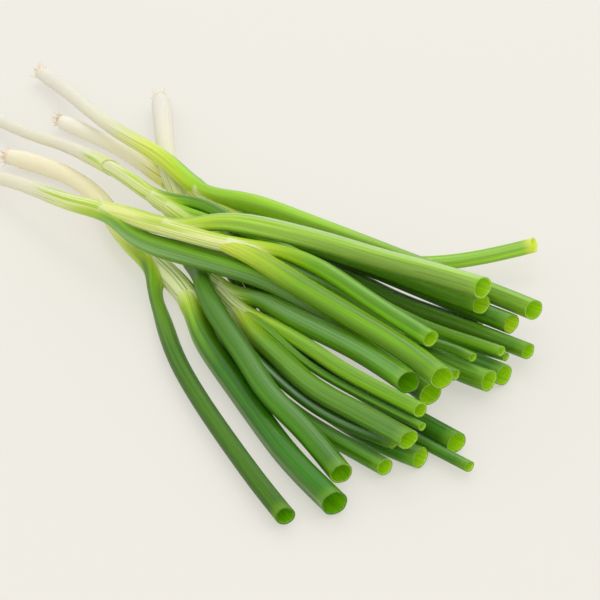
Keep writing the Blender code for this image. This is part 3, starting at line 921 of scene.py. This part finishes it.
grow_plant(
    "e",
    {
        "onion_e_leaf_1": (
            "outer",
            {
                "leaf": (58, 106, 4),
                "ripening": (-4, 4, 14, 40),
                "pale": (222, 226, 124),
                "vein": (168, 194, 30),
                "inside": (120, 168, 6),
                "inside_deep": (94, 146, 2),
            },
        ),
        "onion_e_leaf_2": (
            "inner",
            {
                "leaf": (86, 140, 10),
                "wax_and_sheen_share": 0.3,
                "sheen_side": 60,
                "pale": (220, 227, 166),
                "vein": (118, 164, 10),
                "stripes": 13.0,
                "inside": (104, 158, 4),
                "inside_deep": (84, 140, 2),
                "rim": (60, 112, 8),
            },
        ),
        "onion_e_leaf_3": (
            "inner",
            {
                "leaf": (108, 156, 24),
                "bright": (142, 186, 24),
                "ripening": (-2, 12, 50, 110),
                "pale": (222, 229, 168),
                "vein": (124, 168, 14),
                "stripes": 13.0,
            },
        ),
        "onion_e_leaf_4": ("side", {"leaf": (80, 132, 20)}),
        "onion_e_leaf_5": (
            "line",
            {
                "leaf": (66, 112, 6),
                "young": (186, 208, 56),
                "bright": (112, 158, 22),
                "ripening": (-2, 14, 50, 150),
                "flat": 0.10,
                "creases": ((60, 0.05, 0.10), (20, -0.05, 0.14)),
                "sheen_side": 40,
            },
        ),
        "onion_e_leaf_6": ("side", {"leaf": (52, 104, 6)}),
    },
    (0.50, 0.46, 0.36),
    50,
)


# Plant f, at the back. Its oldest leaf leaves the heap and rises to one side, with a yellow cut end, and
# the younger ones are hollow leaves that lie low under the others.

grow_plant(
    "f",
    {
        "onion_f_leaf_1": (
            "outer",
            {
                "leaf": (128, 171, 44),
                "slant": 0.6,
                "sheen_side": 60,
                "wax_and_sheen_share": 0.35,
                "tip": (206, 218, 66),
                "tip_share": 0.95,
                "inside": (206, 218, 60),
                "inside_deep": (188, 206, 44),
                "rim": (214, 222, 90),
                "root": (234, 230, 212),
                "cream": (232, 228, 190),
                "pale": (226, 224, 112),
                "vein": (190, 200, 30),
            },
        ),
        "onion_f_leaf_2": ("line", {"leaf": (60, 112, 12)}),
        "onion_f_leaf_3": ("side", {"leaf": (74, 126, 8)}),
        "onion_f_leaf_4": ("inner", {"leaf": (44, 96, 4), "wax_and_sheen_share": 0.7, "sheen_side": -40, "sheen_width": 0.2}),
        "onion_f_leaf_5": ("side", {"leaf": (74, 120, 14)}),
        "onion_f_leaf_6": ("side", {"leaf": (60, 110, 10)}),
    },
    (0.70, 0.36, 0.36),
    60,
)


# The root tufts: a flat brown-white plate that closes each shank, and fine dry roots, trimmed short, growing
# out of it in a loose brush.

THREADS = 34
THREAD_RADIUS = 0.22 * MM


def root_material(name, seed):
    material = bpy.data.materials.new(name + "_fibre")
    material.use_nodes = True
    tree = material.node_tree
    surface = tree.nodes["Principled BSDF"]
    places = tree.nodes.new("ShaderNodeTexCoord")
    field = tree.nodes.new("ShaderNodeTexNoise")
    field.noise_dimensions = "4D"
    field.inputs["W"].default_value = seed
    field.inputs["Scale"].default_value = 420.0
    field.inputs["Detail"].default_value = 4.0
    tree.links.new(places.outputs["Object"], field.inputs["Vector"])
    dry = ranged(tree, field.outputs["Fac"], 0.35, 0.65)
    colour = mixed(tree, dry, linear(238, 226, 204), linear(214, 186, 146))
    tree.links.new(colour, surface.inputs["Base Color"])
    surface.inputs["Roughness"].default_value = 0.75
    surface.inputs["Subsurface Weight"].default_value = 0.2
    surface.inputs["Subsurface Scale"].default_value = 0.0008
    bump = tree.nodes.new("ShaderNodeBump")
    bump.inputs["Strength"].default_value = 0.5
    bump.inputs["Distance"].default_value = 0.0002
    tree.links.new(field.outputs["Fac"], bump.inputs["Height"])
    tree.links.new(bump.outputs["Normal"], surface.inputs["Normal"])
    return material


for seed, plant in enumerate("abcdef"):
    name = f"onion_{plant}_root_tuft"
    rng = np.random.default_rng(200 + seed)
    root_low, root_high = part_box(f"onion_{plant}_roots")
    shank, shank_radii = read_stalk(f"onion_{plant}_shank", (root_low + root_high) / 2)
    outward = Vector(shank[0] - shank[1]).normalized()
    radius = shank_radii[0]
    bpy.ops.object.select_all(action="DESELECT")
    bpy.ops.mesh.primitive_cylinder_add(
        vertices=28,
        radius=radius * 0.97,
        depth=2.2 * MM,
        location=Vector(shank[0]) + outward * 0.3 * MM,
        rotation=outward.to_track_quat("Z", "Y").to_euler(),
    )
    tuft = bpy.context.object
    tuft.name = name
    bpy.ops.object.transform_apply(location=True, rotation=True, scale=True)
    bpy.ops.object.mode_set(mode="EDIT")
    bpy.ops.mesh.select_all(action="DESELECT")
    bpy.ops.object.mode_set(mode="OBJECT")
    for face in tuft.data.polygons:
        face.select = face.normal.dot(outward) > 0.9
    bpy.ops.object.mode_set(mode="EDIT")
    bpy.ops.mesh.inset(thickness=radius * 0.25, depth=0.7 * MM)
    bpy.ops.mesh.inset(thickness=radius * 0.3, depth=0.5 * MM)
    bpy.ops.object.mode_set(mode="OBJECT")
    bpy.ops.object.shade_smooth()
    hair = bpy.data.curves.new(name + "_threads", "CURVE")
    hair.dimensions = "3D"
    hair.bevel_depth = THREAD_RADIUS
    hair.bevel_resolution = 1
    hair.use_fill_caps = True
    aside = outward.orthogonal().normalized()
    other = outward.cross(aside)
    for _ in range(THREADS):
        turn, reach = rng.uniform(0, math.tau), radius * 0.85 * rng.uniform(0, 1) ** 0.5
        spoke = aside * math.cos(turn) + other * math.sin(turn)
        root = Vector(shank[0]) + outward * 1.0 * MM + spoke * reach
        length = rng.uniform(2.0, 5.0) * MM
        lean = 0.25 + 0.9 * reach / radius + rng.uniform(-0.2, 0.2)
        heading = (outward + spoke * lean).normalized()
        thread = hair.splines.new("POLY")
        thread.points.add(5)
        place = root.copy()
        for point, share in zip(thread.points, np.linspace(0, 1, 6)):
            place.z = max(place.z, THREAD_RADIUS * 1.2)
            point.co = (*place, 1)
            point.radius = 1.1 - 0.7 * share
            heading = (heading + Vector(rng.uniform(-0.28, 0.28, 3))).normalized()
            place = place + heading * length / 5
    threads = bpy.data.objects.new(name + "_threads", hair)
    bpy.context.scene.collection.objects.link(threads)
    bpy.ops.object.select_all(action="DESELECT")
    threads.select_set(True)
    bpy.context.view_layer.objects.active = threads
    bpy.ops.object.convert(target="MESH")
    bpy.ops.object.shade_smooth()
    tuft.select_set(True)
    bpy.context.view_layer.objects.active = tuft
    bpy.ops.object.join()
    tuft.data.materials.clear()
    tuft.data.materials.append(root_material(name, float(seed)))
    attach(tuft, "root")
    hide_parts(f"onion_{plant}_roots")
